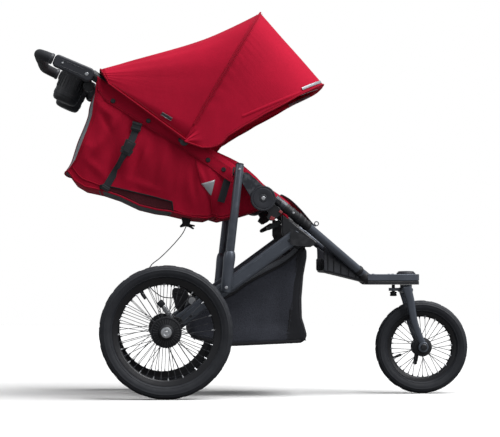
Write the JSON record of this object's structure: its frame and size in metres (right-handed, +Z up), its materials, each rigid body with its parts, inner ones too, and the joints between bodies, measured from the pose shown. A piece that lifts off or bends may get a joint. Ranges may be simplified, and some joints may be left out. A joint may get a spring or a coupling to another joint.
{
  "type": "jogging stroller",
  "caption": "Three-wheel jogging stroller with spoked wheels, folding frame, reclining seat, sun canopy, cup-holder tray and mesh basket.",
  "frame": {"origin": "on the ground under the centre of the whole stroller's box", "axes": "+X forward, towards the front wheel, +Y to the child's left, +Z up"},
  "size_m": [1.351, 0.6414, 1.1893],
  "materials": {
    "gunmetal": "satin gunmetal powder coat",
    "black_plastic": "matte moulded black",
    "charcoal_plastic": "textured charcoal moulding",
    "grip_foam": "matte closed cell foam",
    "rim_black": "semi gloss black",
    "tyre": "matte rubber",
    "steel": "brushed",
    "silver": "satin cast",
    "crimson_fabric": "woven polyester",
    "basket_mesh": "knitted mesh",
    "webbing": "woven strap"
  },
  "bodies": {
    "front_frame": {"main_tube_right": "gunmetal", "main_tube_left": "gunmetal", "lower_hinge_right": "gunmetal", "lower_hinge_left": "gunmetal", "arm_bracket_right": "black_plastic", "arm_bracket_left": "black_plastic", "front_platform": "gunmetal", "footrest": "charcoal_plastic", "frame_crossbar": "gunmetal", "seat_bottom": "crimson_fabric", "leg_panel": "crimson_fabric", "basket": "basket_mesh", "harness_buckle": "black_plastic"},
    "upper_frame": {"upper_tube_right": "gunmetal", "upper_tube_left": "gunmetal", "upper_hinge_right": "gunmetal", "upper_hinge_left": "gunmetal", "handle_socket_right": "black_plastic", "handle_socket_left": "black_plastic", "parent_organizer": "black_plastic", "canopy_rear_panel": "crimson_fabric", "side_panel_right": "crimson_fabric", "side_panel_left": "crimson_fabric", "head_panel": "crimson_fabric", "recline_strap_right": "webbing", "recline_strap_left": "webbing"},
    "handlebar": {"handlebar": "charcoal_plastic", "handle_grip": "grip_foam"},
    "height_button_right": {"handle_button_right": "silver"},
    "height_button_left": {"handle_button_left": "silver"},
    "canopy_main": {"canopy_main_bow": "black_plastic", "canopy_front_panel": "crimson_fabric"},
    "canopy_front": {"canopy_front_bow": "black_plastic"},
    "seat_back": {"seat_back": "crimson_fabric", "shoulder_strap_right": "webbing", "shoulder_strap_left": "webbing"},
    "rear_frame": {"swing_arm_right": "gunmetal", "swing_arm_left": "gunmetal", "rear_axle": "steel", "axle_tube": "gunmetal", "rear_crossbar": "silver", "tether_strap": "webbing"},
    "brake_pedal": {"brake_pedal": "silver"},
    "struts": {"strut_right": "gunmetal", "strut_left": "gunmetal"},
    "rear_wheel_right": {"rear_tyre_right": "tyre", "rear_rim_right": "rim_black", "rear_hub_right": "black_plastic"},
    "rear_wheel_left": {"rear_tyre_left": "tyre", "rear_rim_left": "rim_black", "rear_hub_left": "black_plastic"},
    "wheel_release_right": {"axle_button_right": "steel"},
    "wheel_release_left": {"axle_button_left": "steel"},
    "front_fork": {"front_fork": "gunmetal"},
    "swivel_lock": {"swivel_lock": "black_plastic"},
    "quick_release": {"quick_release": "black_plastic"},
    "front_wheel": {"front_tyre": "tyre", "front_rim": "rim_black", "front_hub": "black_plastic"},
    "fold_latch": {"fold_latch": "black_plastic"}
  },
  "joints": [
    {"name": "handle_fold", "type": "hinge", "parent": "front_frame", "child": "upper_frame", "pos_m": [0.01573, 0, 0.6026], "axis": [0, 1, 0], "range_deg": [0, 80], "deforming": ["tether_strap"]},
    {"name": "rear_frame_swing", "type": "hinge", "parent": "front_frame", "child": "rear_frame", "pos_m": [0.11003, 0, 0.485], "axis": [0, 1, 0], "range_deg": [0, 21.7]},
    {"name": "strut_swing", "type": "hinge", "parent": "rear_frame", "child": "struts", "pos_m": [-0.09717, 0, 0.3328], "axis": [0, 1, 0], "range_deg": [0, 11.7]},
    {"name": "seat_recline", "type": "hinge", "parent": "upper_frame", "child": "seat_back", "pos_m": [-0.12797, 0, 0.562], "axis": [0, 1, 0], "range_deg": [0, 45], "deforming": ["side_panel_right", "side_panel_left", "head_panel", "recline_strap_right", "recline_strap_left"]},
    {"name": "canopy_open", "type": "hinge", "parent": "upper_frame", "child": "canopy_main", "pos_m": [-0.22297, 0, 0.7744], "axis": [0, 1, 0], "range_deg": [-70, 0], "deforming": ["canopy_rear_panel", "canopy_front_panel"]},
    {"name": "canopy_visor", "type": "hinge", "parent": "canopy_main", "child": "canopy_front", "pos_m": [-0.22297, 0, 0.7744], "axis": [0, 1, 0], "range_deg": [-33, 0]},
    {"name": "handle_height", "type": "hinge", "parent": "upper_frame", "child": "handlebar", "pos_m": [-0.51697, 0, 0.976], "axis": [0, 1, 0], "range_deg": [-30, 30]},
    {"name": "height_button_right_press", "type": "slide", "parent": "handlebar", "child": "height_button_right", "axis": [0, -1, 0], "range_m": [0, 0.003], "stiffness_N_per_m": 400},
    {"name": "height_button_left_press", "type": "slide", "parent": "handlebar", "child": "height_button_left", "axis": [0, 1, 0], "range_m": [0, 0.003], "stiffness_N_per_m": 400},
    {"name": "rear_wheel_right_spin", "type": "hinge", "parent": "rear_frame", "child": "rear_wheel_right", "pos_m": [-0.27797, 0, 0.2], "axis": [0, 1, 0], "continuous": true},
    {"name": "rear_wheel_left_spin", "type": "hinge", "parent": "rear_frame", "child": "rear_wheel_left", "pos_m": [-0.27797, 0, 0.2], "axis": [0, 1, 0], "continuous": true},
    {"name": "wheel_release_right_press", "type": "slide", "parent": "rear_wheel_right", "child": "wheel_release_right", "axis": [0, 1, 0], "range_m": [0, 0.003], "stiffness_N_per_m": 400},
    {"name": "wheel_release_left_press", "type": "slide", "parent": "rear_wheel_left", "child": "wheel_release_left", "axis": [0, -1, 0], "range_m": [0, 0.003], "stiffness_N_per_m": 400},
    {"name": "front_swivel", "type": "hinge", "parent": "front_frame", "child": "front_fork", "pos_m": [0.48203, 0, 0.2], "axis": [0, 0, 1], "continuous": true},
    {"name": "swivel_lock_pull", "type": "slide", "parent": "front_fork", "child": "swivel_lock", "axis": [0, 0, -1], "range_m": [0, 0.006], "stiffness_N_per_m": 400},
    {"name": "front_wheel_spin", "type": "hinge", "parent": "front_fork", "child": "front_wheel", "pos_m": [0.53003, 0, 0.146], "axis": [0, 1, 0], "continuous": true},
    {"name": "quick_release_turn", "type": "hinge", "parent": "front_fork", "child": "quick_release", "pos_m": [0.53003, 0, 0.146], "axis": [0, 1, 0], "range_deg": [-90, 90]},
    {"name": "brake_pedal_press", "type": "hinge", "parent": "rear_frame", "child": "brake_pedal", "pos_m": [-0.23797, 0, 0.226], "axis": [0, 1, 0], "range_deg": [-25, 0]},
    {"name": "fold_latch_pull", "type": "hinge", "parent": "front_frame", "child": "fold_latch", "pos_m": [0.06703, 0, 0.53], "axis": [0, 1, 0], "range_deg": [0, 25], "stiffness_Nm_per_rad": 0.6, "springref_deg": -5.73}
  ],
  "couplings": [
    {"joint": "rear_frame_swing", "follows": "handle_fold", "ratio": 0.27},
    {"joint": "strut_swing", "follows": "handle_fold", "ratio": 0.145}
  ]
}
